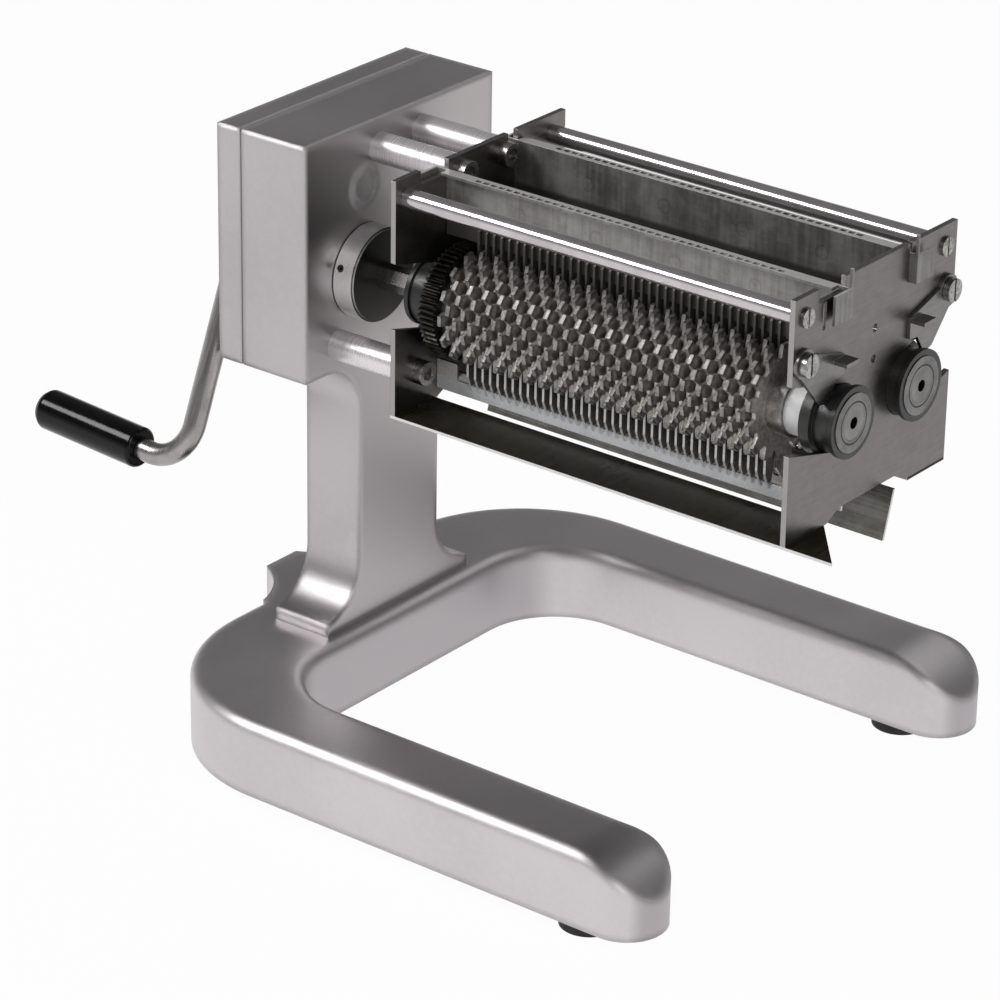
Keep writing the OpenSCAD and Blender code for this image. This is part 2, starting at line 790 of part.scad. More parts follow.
// Mouth of a bearing slot, from the roller axis out past the plate's edge
module bearing_slot() {
    translate([roller_y, axis_h]) {
        circle(d = slot_w);
        rotate(slot_rise_deg) translate([0, mouth_ease - slot_w / 2])
            square([plate_w, slot_w - 2 * mouth_ease]);
    }
}

module plate_outline() {
    difference() {
        translate([-plate_w / 2, 0]) square([plate_w, plate_h]);
        polygon([
            [-recess_y, -over], [-recess_y, 0], [recess_slope_w - recess_y, recess_h],
            [recess_y - recess_slope_w, recess_h], [recess_y, 0], [recess_y, -over]
        ]);
        translate([-top_notch_y, plate_h - top_notch_h])
            square([top_notch_y - wall_y, top_notch_h + over]);
        for (side = [0, 1]) mirror([side, 0]) {
            bearing_slot();
            translate([wall_y - notch_w / 2, hook_z0 - loose_gap])
                square([notch_w, plate_h - hook_z0 + loose_gap + over]);
            translate([tie_y, tie_z]) circle(d = tie_d * screw_r_share + 2 * fit_gap);
        }
    }
}

module rear_plate() {
    color("darkgray") slab(0, plate_t) translate([0, z_plate]) difference() {
        plate_outline();
        translate([wall_y - rear_notch_w, plate_h - top_notch_h])
            square([rear_notch_w, top_notch_h + over]);
        for (side = [-1, 1]) for (p = post_places)
            translate([side * p[0], p[1] - z_plate]) circle(d = post_bolt_d + 2 * fit_gap);
    }
}

module front_plate() {
    color("darkgray") slab(x_in_front, x_front) translate([0, z_plate]) difference() {
        plate_outline();
        for (z = [axis_h + neck_d / 2 + pin_hole_d, axis_h + neck_d / 2 + 5 * pin_hole_d])
            translate([0, z]) circle(d = pin_hole_d);
        translate([-slit_y - slit_w / 2, slit_z]) square([slit_w, slit_h]);
        for (side = [-1, 1])
            translate([side * latch_y, latch_z]) circle(d = latch_pin_d + 2 * thread_gap);
    }
}

module tie_rods() {
    color("lightgray") both_sides() difference() {
        rod(x_in_rear, x_in_front, tie_y, z_plate + tie_z, tie_d);
        rod(x_in_rear - over, x_in_rear + tie_screw_l, tie_y, z_plate + tie_z,
            tie_d * screw_r_share + 2 * thread_gap);
        rod(x_in_front - tie_screw_l, x_in_front + over, tie_y, z_plate + tie_z,
            tie_d * screw_r_share + 2 * thread_gap);
    }
}

// Slotted screw along X; dir is 1 where the head looks forward
module slotted_screw(x, y, z, d, head_d, head_t, l, dir) {
    translate([x - x_mid, y, z]) rotate([0, 90 * dir, 0]) difference() {
        union() {
            cylinder(d = head_d, h = head_t);
            translate([0, 0, -l]) cylinder(d = d, h = l);
        }
        translate([-head_d, -slot_t / 2, head_t - head_t / 2]) cube([2 * head_d, slot_t, head_t]);
    }
}

module tie_rod_screws() {
    l = plate_t + tie_screw_l - over;
    color("gainsboro") both_sides() {
        slotted_screw(x_front, tie_y, z_plate + tie_z, tie_d * screw_r_share, tie_d, tie_sink, l, 1);
        slotted_screw(0, tie_y, z_plate + tie_z, tie_d * screw_r_share, tie_d, tie_sink, l, -1);
    }
}

module guide_sheets() {
    color("darkgray") {
        block(0, x_front, guide_y, plate_w / 2, z_plate - sheet_t, z_plate);
        translate([-x_mid, 0, z_plate - sheet_t]) linear_extrude(height = sheet_t) polygon([
            [0, -guide_y], [x_front, -guide_y], [x_guide1, -plate_w / 2], [0, -plate_w / 2]
        ]);
    }
}

// Places of the gaps between blade discs; half is 0 on the left roller and 1 on the right
function gap_x(i, half) = x_blade0 + half * blade_pitch / 2 + blade_t
    + (blade_pitch - blade_t) / 2 + i * blade_pitch;
module fingers(half) {
    for (i = [0:blade_count - 2])
        slab(gap_x(i, half) - finger_t / 2, gap_x(i, half) + finger_t / 2) children();
}

module outer_comb(half) {
    y0 = outer_comb_y;
    fingers(half) translate([0, z_plate]) polygon([
        [y0 - sheet_t / 2, outer_comb_z0 + comb_bare_w],
        [y0 + sheet_t / 2, outer_comb_z0 + comb_bare_w],
        [y0 + finger_w * 0.75, outer_comb_z1 + finger_w], [y0 + finger_w * 0.75, axis_h / 2],
        [y0 + finger_w / 4, outer_finger_z], [y0 - finger_w / 3, outer_finger_z],
        [y0 - finger_w / 2, axis_h / 2], [y0 - sheet_t / 2, outer_comb_z1]
    ]);
    block(x_in_rear, x_in_front, y0 - sheet_t / 2, y0 + sheet_t / 2, z_plate + outer_comb_z0,
        z_plate + outer_comb_z1);
    block(x_in_rear, x_in_rear + comb_end_l, y0 - sheet_t / 2, y0 + sheet_t / 2,
        z_plate + outer_comb_z0, z_plate + outer_comb_z0 + comb_end_h);
}

// Sloping strip of an exit comb from its foot up to a height
module exit_strip(x0, x1, foot_y, drop, rise) {
    top_y = foot_y + (exit_comb_y - foot_y) * (drop + rise) / (drop + exit_rise);
    slab(x0, x1) translate([0, z_plate]) polygon([
        [foot_y, -drop], [top_y, rise], [top_y + sheet_t, rise], [foot_y + sheet_t, -drop]
    ]);
}

module exit_comb(half) {
    exit_strip(x_in_rear, x_in_front, half > 0 ? exit_foot_y : exit_comb_y,
        half > 0 ? exit_drop : 0, exit_rise);
    fingers(half) translate([0, z_plate]) polygon([
        [exit_comb_y, exit_rise], [exit_comb_y - over, exit_rise + finger_w],
        [exit_comb_y + finger_w / 2, outer_finger_z - finger_clear],
        [exit_comb_y + finger_w, outer_finger_z - finger_clear],
        [exit_comb_y + finger_w, exit_rise + finger_w], [exit_comb_y + sheet_t, exit_rise]
    ]);
}

module outer_comb_left() { color("gainsboro") mirror([0, 1, 0]) outer_comb(0); }
module outer_comb_right() { color("gainsboro") outer_comb(1); }
module exit_comb_left() { color("gray") mirror([0, 1, 0]) exit_comb(0); }
module exit_comb_right() {
    color("gray") {
        exit_comb(1);
        exit_strip(x_in_front - over, x_front + exit_tip, exit_foot_y, exit_drop,
            recess_h - finger_clear);
    }
}

// Flanged bearing block along X, with its plate at x; dir is 1 where it faces forward
module bearing_block(x, dir, y) {
    translate([x - x_mid, y, z_axis]) rotate([0, 90 * dir, 0]) difference() {
        union() {
            translate([0, 0, -inner_flange_t - plate_t])
                cylinder(d = flange_d, h = inner_flange_t - loose_gap / 2);
            translate([0, 0, -plate_t - over]) cylinder(d = neck_d, h = plate_t + neck_out + over);
            translate([0, 0, neck_out]) cylinder(d = cap_flange_d, h = outer_flange_t);
        }
        translate([0, 0, -inner_flange_t - plate_t - over])
            cylinder(d = sleeve_d + 2 * thread_gap, h = bearing_l + 2 * over);
    }
}

module bearing_sleeve(x, dir, y) {
    translate([x - x_mid, y, z_axis]) rotate([0, 90 * dir, 0])
        translate([0, 0, -inner_flange_t - plate_t]) difference() {
            cylinder(d = sleeve_d, h = bearing_l + sleeve_out);
            translate([0, 0, -over])
                cylinder(d = journal_d + 2 * run_gap, h = bearing_l + sleeve_out + 2 * over);
        }
}

module bearing_blocks() {
    color("dimgray") for (side = [-1, 1]) {
        bearing_block(x_front, 1, side * roller_y);
        bearing_block(0, -1, side * roller_y);
    }
}

module bearing_sleeves() {
    color("gainsboro") for (side = [-1, 1]) {
        bearing_sleeve(x_front, 1, side * roller_y);
        bearing_sleeve(0, -1, side * roller_y);
    }
}

module latch_screws() {
    x_seat = x_front + 2 * head_gap + latch_t;
    color("gainsboro") both_sides() slotted_screw(x_seat, latch_y, z_plate + latch_z,
        latch_pin_d, latch_head_d, latch_head_t, plate_t + latch_t + 2 * head_gap, 1);
}

// Flat outline of a latch on the right side, pivot at the origin
module latch_outline() {
    y_end = -latch_l;
    difference() {
        union() {
            circle(latch_r);
            polygon([
                [latch_r * 0.6, latch_r * 0.8], [y_end, latch_r * 0.8 - latch_arm_w],
                [y_end, latch_r * 0.8 - 2 * latch_arm_w], [y_end * 0.8, -hook_reach * 0.62],
                [y_end * 0.6, -hook_reach], [y_end * 0.4, -hook_reach * 0.93],
                [latch_r * 0.4, -latch_r * 0.9]
            ]);
        }
        circle(d = latch_pin_d + 2 * run_gap);
        translate([roller_y - latch_y, axis_h - latch_z]) circle(d = neck_d + 2 * latch_seat_gap);
    }
}

module latch(side) {
    x0 = x_front + head_gap;
    z_tab = latch_z + latch_r * 0.8 - latch_arm_w - latch_tab_drop;
    mirror([0, side > 0 ? 0 : 1, 0]) {
        slab(x0, x0 + latch_t) translate([latch_y, z_plate + latch_z]) latch_outline();
        block(x0 + latch_t / 2, x0 + latch_t + latch_tab, latch_y - latch_l,
            latch_y - latch_l + latch_tab_w, z_plate + z_tab, z_plate + z_tab + latch_t);
    }
}

module latch_left() { color("darkgray") latch(-1); }
module latch_right() { color("darkgray") latch(1); }

// Hopper wall with its comb fingers and end hooks, on the right side
module hopper_wall(half) {
    y0 = wall_y - sheet_t / 2;
    y1 = wall_y + sheet_t / 2;
    block(x_in_rear + core_gap, x_in_front - core_gap, y0, y1, z_plate + wall_z0, z_plate + wall_z1);
    difference() {
        block(x_in_rear + core_gap, x_in_front - core_gap, y0, y1 + rim_w, z_plate + wall_z1 - sheet_t,
            z_plate + wall_z1);
        for (i = [0:blade_count - 2]) block(gap_x(i, half) - (blade_pitch - rim_bridge) / 2,
            gap_x(i, half) + (blade_pitch - rim_bridge) / 2, y1 + (rim_w - rim_slot_w) / 2,
            y1 + (rim_w + rim_slot_w) / 2, z_plate + wall_z1 - sheet_t - over, z_plate + wall_z1 + over);
    }
    fingers(half) translate([0, z_plate]) polygon([
        [y0, wall_z0], [y0, wall_z0 + rib_h], [y1, wall_z0 + rib_h],
        [wall_y + finger_w / 2, wall_z0 + rib_h - finger_w / 2],
        [wall_y + finger_w / 2, finger_z], [wall_y - finger_w / 2, finger_z],
        [wall_y - finger_w / 2, wall_z0 - finger_w / 2]
    ]);
    for (end = [-1, 1]) {
        x_wall = end > 0 ? x_in_front - 2 * core_gap : -hook_gap - sheet_t;
        x_tab = end > 0 ? x_front + hook_gap : -hook_gap - sheet_t;
        block(x_wall, x_wall + hook_run, y0, y1, z_plate + hook_z0, z_plate + wall_z1);
        block(x_tab, x_tab + sheet_t, y0, y1, z_plate + hook_z0,
            z_plate + (end > 0 ? hook_z1 : wall_z1));
        block(x_tab, x_tab + sheet_t, y0, y1 + hook_w, z_plate + hook_z0, z_plate + wall_z1);
    }
}

module hopper_wall_left() { color("darkgray") mirror([0, 1, 0]) hopper_wall(0); }
module hopper_wall_right() { color("darkgray") hopper_wall(1); }

module drive_shaft() {
    color("lightgray") rod(x_cover0 + blind_t + fit_gap, x_shaft1, -roller_y, z_axis, drive_shaft_d);
}

module geared_wheel(x0, x1, z, m, n, shaft_d, turn_deg) {
    difference() {
        slab(x0, x1) translate([-roller_y, z]) rotate(turn_deg) gear_outline(m, n);
        rod(x0 - over, x1 + over, -roller_y, z, shaft_d + 2 * thread_gap);
        children();
    }
}

module drive_wheel() {
    x_set = x_wheel0 - wheel_hub_l / 2;
    color("darkgray") {
        geared_wheel(x_wheel0, x_wheel1, z_axis, gear_m, wheel_n, drive_shaft_d, 90);
        difference() {
            rod(x_wheel0 - wheel_hub_l, x_wheel0, -roller_y, z_axis, wheel_hub_d);
            rod(x_wheel0 - wheel_hub_l - over, x_wheel0 + over, -roller_y, z_axis,
                drive_shaft_d + 2 * thread_gap);
            translate([x_set - x_mid, -roller_y, z_axis]) mirror([0, 0, 1])
                cylinder(d = set_d + 2 * thread_gap, h = wheel_hub_d);
        }
    }
}

// Set screw that points at a shaft, with its outer end below the hub's surface
module set_screw(x, z, shaft_d, hub_dia, turn_deg) {
    len = (hub_dia - shaft_d) / 2 - over / 2;
    translate([x - x_mid, -roller_y, z]) rotate([turn_deg, 0, 0])
        translate([0, 0, shaft_d / 2 + thread_gap]) difference() {
            cylinder(d = set_d, h = len - thread_gap);
            translate([0, 0, len - set_d * hex_depth_share])
                linear_extrude(height = set_d) hexagon(set_d * hex_share / 2);
        }
}

module drive_wheel_screw() {
    color("gray") set_screw(x_wheel0 - wheel_hub_l / 2, z_axis, drive_shaft_d, wheel_hub_d, 180);
}

module coupling_disc() {
    x0 = x_box1 + coupling_gap;
    x_set = x0 + (coupling_t - socket_depth) / 2;
    color("lightgray") difference() {
        union() {
            rod(x0, x_coupling1 - coupling_chamfer, -roller_y, z_axis, coupling_d);
            rod(x0, x_coupling1, -roller_y, z_axis, coupling_d - 2 * coupling_chamfer);
        }
        rod(x0 - over, x_shaft1 + fit_gap, -roller_y, z_axis, drive_shaft_d + 2 * thread_gap);
        slab(x_shaft1, x_coupling1 + over) translate([-roller_y, z_axis])
            hexagon(tongue_af + 2 * fit_gap);
        translate([x_set - x_mid, -roller_y, z_axis]) rotate([coupling_set_deg, 0, 0])
            cylinder(d = set_d + 2 * thread_gap, h = coupling_d);
    }
}

module coupling_screw() {
    x_set = x_box1 + coupling_gap + (coupling_t - socket_depth) / 2;
    color("gray") set_screw(x_set, z_axis, drive_shaft_d, coupling_d, coupling_set_deg);
}

module roller_shaft(side) {
    y = side * roller_y;
    x_core0 = x_gear0 - core_gap;
    difference() {
        union() {
            rod(x_journal0, x_core0, y, z_axis, journal_d);
            slab(x_core0, x_core1) translate([y, z_axis]) hexagon(core_af);
            rod(x_core1, x_journal1, y, z_axis, journal_d);
            if (side < 0) slab(x_shaft1 + 2 * fit_gap, x_journal0) translate([y, z_axis])
                hexagon(tongue_af);
        }
        rod(x_journal1 - centre_l, x_journal1 + over, y, z_axis, centre_d);
    }
}

function blade_half(w, r) = w / 2 / r * 180 / PI;
function blade_points(phase) = let (r1 = blade_d / 2, r0 = r1 - tooth_h,
    a0 = blade_half(tooth_root_w, r0), a1 = blade_half(tooth_tip_w, r1))
    [for (i = [0:blade_teeth - 1]) let (a = (i + phase) * 360 / blade_teeth)
        each [polar(r0, a - a0), polar(r1, a - a1), polar(r1, a + a1), polar(r0, a + a0)]];

module blade_discs(side) {
    half = side < 0 ? 0 : 1;
    for (i = [0:blade_count - 1]) {
        x0 = x_blade0 + half * blade_pitch / 2 + i * blade_pitch;
        slab(x0, x0 + blade_t) translate([side * roller_y, z_axis]) difference() {
            polygon(blade_points((i % 2) / 2));
            hexagon(core_af + 2 * fit_gap);
        }
    }
}

module blade_spacers(side) {
    half = side < 0 ? 0 : 1;
    for (i = [0:blade_count - 2]) {
        x0 = x_blade0 + half * blade_pitch / 2 + i * blade_pitch + blade_t;
        slab(x0, x0 + blade_pitch - blade_t) translate([side * roller_y, z_axis]) difference() {
            circle(d = spacer_d);
            hexagon(core_af + 2 * fit_gap);
        }
    }
}

module roller_gear(side) {
    turn_deg = side < 0 ? 0 : 180 + 180 / roller_n;
    slab(x_gear0, x_gear1) translate([side * roller_y, z_axis]) difference() {
        rotate(turn_deg) gear_outline(roller_m, roller_n);
        hexagon(core_af + 2 * fit_gap);
    }
}

module end_rings(side) {
    half = side < 0 ? 0 : 1;
    x_shift = half * blade_pitch / 2;
    slab(x_gear1, x_blade0 + x_shift) translate([side * roller_y, z_axis]) difference() {
        circle(d = blade_d - 2 * tooth_h);
        hexagon(core_af + 2 * fit_gap);
    }
    slab(x_blade0 + stack_l + x_shift, x_core1) translate([side * roller_y, z_axis]) difference() {
        circle(d = end_ring_d);
        hexagon(core_af + 2 * fit_gap);
    }
}

module thrust_bush(side) {
    difference() {
        rod(x_core1, x_flange0 - core_gap, side * roller_y, z_axis, thrust_d);
        rod(x_core1 - over, x_flange0 + over, side * roller_y, z_axis, journal_d + 2 * fit_gap);
    }
}

module roller_shaft_left() { color("lightgray") roller_shaft(-1); }
module blade_discs_left() { color("gray") blade_discs(-1); }
module blade_spacers_left() { color("dimgray") blade_spacers(-1); }
module roller_gear_left() { color("dimgray") roller_gear(-1); }
module end_rings_left() { color("darkgray") end_rings(-1); }
module thrust_bush_left() { color("whitesmoke") thrust_bush(-1); }
module roller_shaft_right() { color("lightgray") roller_shaft(1); }
module blade_discs_right() { color("gray") blade_discs(1); }
module blade_spacers_right() { color("dimgray") blade_spacers(1); }
module roller_gear_right() { color("dimgray") roller_gear(1); }
module end_rings_right() { color("darkgray") end_rings(1); }
module thrust_bush_right() { color("whitesmoke") thrust_bush(1); }

module crank_shaft() {
    x_end = x_box1 - box_wall + bush_l / 2 - fit_gap;
    color("lightgray") rod(x_hub0, min(x_end, x_box1 - over), -roller_y, z_crank, crank_shaft_d);
}

module crank_pinion() {
    x_set = x_pinion0 - pinion_hub_l / 2;
    color("darkgray") {
        geared_wheel(x_pinion0, x_pinion1, z_crank, gear_m, pinion_n, crank_shaft_d,
            270 + 180 / pinion_n);
        difference() {
            rod(x_pinion0 - pinion_hub_l, x_pinion0, -roller_y, z_crank, pinion_hub_d);
            rod(x_pinion0 - pinion_hub_l - over, x_pinion0 + over, -roller_y, z_crank,
                crank_shaft_d + 2 * thread_gap);
            translate([x_set - x_mid, -roller_y, z_crank])
                cylinder(d = set_d + 2 * thread_gap, h = pinion_hub_d);
        }
    }
}

module pinion_screw() {
    color("gray") set_screw(x_pinion0 - pinion_hub_l / 2, z_crank, crank_shaft_d, pinion_hub_d, 0);
}

// Crank drawn hanging straight down, then turned to its rest angle
module crank_place() {
    translate([x_bar - x_mid, -roller_y, z_crank]) rotate([-crank_rest_deg, 0, 0]) children();
}

// Frame at the grip end of the bend, with Z along the grip
module stub_place() {
    bend_turn = bend_deg;
    translate([-bend_r, 0, bend_r - crank_r]) rotate([0, bend_turn, 0])
        translate([bend_r, 0, 0]) mirror([0, 0, 1]) children();
}

module crank_arm() {
    color("lightgray") crank_place() {
        difference() {
            union() {
                translate([-hub_l / 2, 0, 0]) rotate([0, 90, 0]) cylinder(d = hub_d, h = hub_l);
                translate([0, 0, bend_r - crank_r - weld_lap])
                    cylinder(d = bar_rod_d, h = crank_r - bend_r + weld_lap);
            }
            translate([-hub_l / 2 - over, 0, 0]) rotate([0, 90, 0])
                cylinder(d = crank_shaft_d + 2 * thread_gap, h = hub_l + 2 * over);
            cylinder(d = set_d + 2 * thread_gap, h = hub_d);
        }
        translate([-bend_r, 0, bend_r - crank_r]) rotate([90, 0, 0]) rotate([0, 0, -bend_deg])
            rotate_extrude(angle = bend_deg) translate([bend_r, 0]) circle(d = bar_rod_d - bend_ease);
        stub_place() difference() {
            union() {
                translate([0, 0, -weld_lap])
                    cylinder(d = bar_rod_d, h = neck_l + weld_lap);
                cylinder(d = grip_bore_d, h = neck_l + stub_l);
            }
            translate([0, 0, neck_l + stub_l - pin_screw_l])
                cylinder(d = pin_screw_d + 2 * thread_gap, h = pin_screw_l + over);
        }
    }
}

module crank_hub_screw() {
    len = (hub_d - crank_shaft_d) / 2 - over;
    color("gray") crank_place() translate([0, 0, crank_shaft_d / 2 + thread_gap]) difference() {
        cylinder(d = set_d, h = len);
        translate([0, 0, len - set_d * hex_depth_share])
            linear_extrude(height = set_d) hexagon(set_d * hex_share / 2);
    }
}

module grip_washer() {
    color("gainsboro") crank_place() stub_place() translate([0, 0, neck_l + stub_l]) difference() {
        cylinder(d = grip_bore_d + grip_washer_rim, h = washer_t);
        translate([0, 0, -over]) cylinder(d = pin_screw_d + 2 * thread_gap, h = washer_t + 2 * over);
    }
}

module grip_screw() {
    head_h = pin_screw_d * head_h_share;
    color("gainsboro") crank_place() stub_place()
        translate([0, 0, neck_l + stub_l + washer_t]) difference() {
            union() {
                cylinder(d = pin_screw_d * head_d_share, h = head_h);
                translate([0, 0, -pin_screw_l]) cylinder(d = pin_screw_d, h = pin_screw_l);
            }
            translate([0, 0, head_h - pin_screw_d * hex_depth_share])
                linear_extrude(height = pin_screw_d) hexagon(pin_screw_d * hex_share);
        }
}

module grip_sleeve() {
    recess_d = grip_bore_d + grip_washer_rim + 2 * loose_gap;
    color("dimgray") crank_place() stub_place() translate([0, 0, neck_l + grip_play]) difference() {
        rotate_extrude() {
            translate([0, grip_round / 2]) square([grip_d / 2, grip_l - 1.5 * grip_round - grip_play]);
            square([grip_d / 2 - grip_round / 2, grip_l - grip_play]);
            translate([grip_d / 2 - grip_round / 2, grip_round / 2]) circle(grip_round / 2, $fn = 40);
            translate([grip_d / 2 - grip_round, grip_l - grip_play - grip_round])
                circle(grip_round, $fn = 40);
        }
        translate([0, 0, -over]) cylinder(d = grip_bore_d + 2 * run_gap, h = grip_l + over);
        translate([0, 0, stub_l - 2 * grip_play]) cylinder(d = recess_d, h = grip_l);
    }
}

base_casting();
foot_pads();
foot_screws();
column_bolts();
gear_housing();
cover_gasket();
rear_cover();
cover_screws();
crank_bushes();
drive_bushes();
spacer_posts();
post_bolts();
rear_plate();
front_plate();
tie_rods();
tie_rod_screws();
guide_sheets();
outer_comb_left();
outer_comb_right();
exit_comb_left();
exit_comb_right();
bearing_blocks();
bearing_sleeves();
latch_screws();
hopper_wall_left();
hopper_wall_right();
latch_left();
latch_right();
drive_shaft();
drive_wheel();
drive_wheel_screw();
coupling_disc();
coupling_screw();
roller_shaft_left();
blade_discs_left();
blade_spacers_left();
roller_gear_left();
end_rings_left();
thrust_bush_left();
roller_shaft_right();
blade_discs_right();
blade_spacers_right();
roller_gear_right();
end_rings_right();
thrust_bush_right();
crank_shaft();
crank_pinion();
pinion_screw();
crank_arm();
crank_hub_screw();
grip_washer();
grip_screw();
grip_sleeve();
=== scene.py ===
import math

import bpy
from mathutils import Matrix, Vector


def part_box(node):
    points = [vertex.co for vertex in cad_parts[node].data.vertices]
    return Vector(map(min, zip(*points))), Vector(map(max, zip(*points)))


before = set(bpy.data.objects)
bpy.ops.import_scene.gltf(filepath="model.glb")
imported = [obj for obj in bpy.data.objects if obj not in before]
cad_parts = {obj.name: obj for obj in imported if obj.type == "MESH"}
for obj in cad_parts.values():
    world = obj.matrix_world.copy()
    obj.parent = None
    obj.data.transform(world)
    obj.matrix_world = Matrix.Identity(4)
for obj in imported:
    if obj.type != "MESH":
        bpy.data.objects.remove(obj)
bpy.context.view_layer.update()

# Camera. It stands where the photograph was taken from, about 2.3 m away with a long lens.
# Its place is given from the rear plate's lower corner, which fixes the picture's frame.
azimuth, elevation, roll = math.radians(37.81), math.radians(24.86), math.radians(0.90)
back = Vector((math.sin(azimuth) * math.cos(elevation), -math.cos(azimuth) * math.cos(elevation),
               math.sin(elevation)))
level = Vector((math.cos(azimuth), math.sin(azimuth), 0.0))
upward = back.cross(level)
right = math.cos(roll) * level + math.sin(roll) * upward
up = math.cos(roll) * upward - math.sin(roll) * level
rear_plate_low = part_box("rear_plate")[0]
stand = Vector((1.3347, -1.6973, 0.9293)) + Vector((rear_plate_low[0], 0.0, rear_plate_low[2]))
camera_data = bpy.data.cameras.new("camera")
camera_data.sensor_width = 36.0
camera_data.lens = 164.69
camera_data.clip_end = 30.0
camera = bpy.data.objects.new("camera", camera_data)
bpy.context.scene.collection.objects.link(camera)
camera.matrix_world = Matrix.Translation(stand) @ Matrix((right, up, back)).transposed().to_4x4()
bpy.context.scene.camera = camera
bpy.context.scene.view_settings.view_transform = "Standard"

# Studio. The surround is pale down at the horizon and dim overhead, so that broad tops stay
# darker than sides. The lamps are soft boxes: a bright one high on the left, one over the front
# and a weak one behind.


class Value:
    """One socket of a node tree; sums and products of Values are written as plain Python."""

    def __init__(self, tree, socket):
        self.tree = tree
        self.socket = socket

    def math(self, operation, first, second):
        return self.tree.node("Math", {"operation": operation}, {0: first, 1: second})

    def __add__(self, other):
        return self.math("ADD", self, other)

    def __radd__(self, other):
        return self.math("ADD", other, self)

    def __sub__(self, other):
        return self.math("SUBTRACT", self, other)

    def __rsub__(self, other):
        return self.math("SUBTRACT", other, self)

    def __mul__(self, other):
        return self.math("MULTIPLY", self, other)

    def __rmul__(self, other):
        return self.math("MULTIPLY", other, self)

    def __pow__(self, other):
        return self.math("POWER", self, other)

    def __abs__(self):
        return self.math("ABSOLUTE", self, 0.0)


class Tree:
    """One node tree being written; node() adds any node and gives its output as a Value."""

    def __init__(self, tree):
        self.tree = tree

    def node(self, kind, settings=None, sockets=None, out=0):
        node = self.tree.nodes.new("ShaderNode" + kind)
        for key, value in (settings or {}).items():
            setattr(node, key, value)
        self.fill(node, sockets or {})
        return Value(self, node.outputs[out])

    def fill(self, node, sockets):
        for key, value in sockets.items():
            if isinstance(value, Value):
                self.tree.links.new(value.socket, node.inputs[key])
            else:
                node.inputs[key].default_value = value

    def split(self, vector):
        outputs = self.node("SeparateXYZ", None, {0: vector}).socket.node.outputs
        return [Value(self, outputs[index]) for index in range(3)]

    def ramp(self, value, low, high, start=0.0, end=1.0):
        return self.node("MapRange", {"interpolation_type": "SMOOTHSTEP"},
                         {"Value": value, "From Min": low, "From Max": high, "To Min": start, "To Max": end})


world = bpy.data.worlds.new("surround")
world.use_nodes = True
bpy.context.scene.world = world
sky = Tree(world.node_tree)
sky_height = sky.split(sky.node("TexCoord", out="Generated"))[2]
sky.fill(world.node_tree.nodes["Background"],
         {"Color": (1.0, 1.0, 1.0, 1.0), "Strength": sky.ramp(sky_height, 0.03, 0.32, 0.60, 0.16)})

for lamp_name, lamp_place, lamp_size, lamp_power in (
    ("lamp_left", (-1.0, -1.0, 1.35), (0.9, 0.6), 18.0),
    ("lamp_front", (1.7, -1.0, 1.2), (0.8, 0.8), 11.0),
    ("lamp_rear", (0.2, 1.5, 1.9), (1.6, 0.8), 4.0),
):
    lamp_data = bpy.data.lights.new(lamp_name, "AREA")
    lamp_data.shape = "RECTANGLE"
    lamp_data.size, lamp_data.size_y = lamp_size
    lamp_data.energy = lamp_power
    lamp = bpy.data.objects.new(lamp_name, lamp_data)
    bpy.context.scene.collection.objects.link(lamp)
    aim = Vector((0.0, 0.0, 0.2)) - Vector(lamp_place)
    lamp.matrix_world = Matrix.Translation(lamp_place) @ aim.to_track_quat("-Z", "Y").to_matrix().to_4x4()

# Floor. A wide sheet of pale paper under the machine. It is white to the camera and in what
# metal mirrors, and keeps a trace of the machine's shadow.
floor_size = 14.0
floor_whiteness = 0.97


class Finish(Tree):
    """One material being made, with what the machine's finishes are mixed from."""

    def __init__(self, name, metallic, ior=1.5):
        self.material = bpy.data.materials.new(name)
        self.material.use_nodes = True
        super().__init__(self.material.node_tree)
        self.shader = self.tree.nodes["Principled BSDF"]
        self.give(Metallic=metallic, IOR=ior)

    def place(self):
        return self.node("TexCoord", out="Object")

    def facing(self):
        return [abs(part) for part in self.split(self.node("TexCoord", out="Normal"))]

    def noise(self, scale, detail=4.0, rough=0.6, stretch=(1.0, 1.0, 1.0)):
        place = self.node("Mapping", None, {"Vector": self.place(), "Scale": stretch})
        return self.node("TexNoise", None,
                         {"Vector": place, "Scale": scale, "Detail": detail, "Roughness": rough})

    def colours(self, factor, first, second):
        pair = {0: factor}
        for index, colour in ((6, first), (7, second)):
            pair[index] = colour if isinstance(colour, Value) else (*colour, 1.0)
        return self.node("Mix", {"data_type": "RGBA"}, pair, out=2)

    def bump(self, height, depth, edge=None):
        sockets = {"Height": height, "Strength": 1.0, "Distance": depth}
        if edge:
            sockets["Normal"] = self.node("Bevel", {"samples": 6}, {"Radius": edge})
        return self.node("Bump", None, sockets)

    def give(self, **sockets):
        self.fill(self.shader, {name.replace("_", " "): value for name, value in sockets.items()})

    def dress(self, *nodes):
        for name in nodes:
            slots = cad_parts[name].data.materials
            if len(slots) == 0:
                slots.append(self.material)
            for index in range(len(slots)):
                slots[index] = self.material


bpy.ops.mesh.primitive_plane_add(size=floor_size, location=(0.0, 0.0, 0.0))
floor = bpy.context.object
floor.name = "floor"
paper = Finish("floor_pale", 0.0)
paper.give(Base_Color=(0.80, 0.80, 0.80, 1.0), Roughness=0.9, Specular_IOR_Level=0.0)
paper_seen = (paper.node("LightPath", out="Is Camera Ray") + paper.node("LightPath", out="Is Glossy Ray")
              + paper.node("LightPath", out="Is Transmission Ray"))
paper_mix = paper.node("MixShader", None, {0: paper_seen * floor_whiteness,
                                           1: Value(paper, paper.shader.outputs[0]),
                                           2: paper.node("Emission", None, {"Strength": 1.0})})
paper.fill(paper.tree.nodes["Material Output"], {"Surface": paper_mix})
floor.data.materials.append(paper.material)

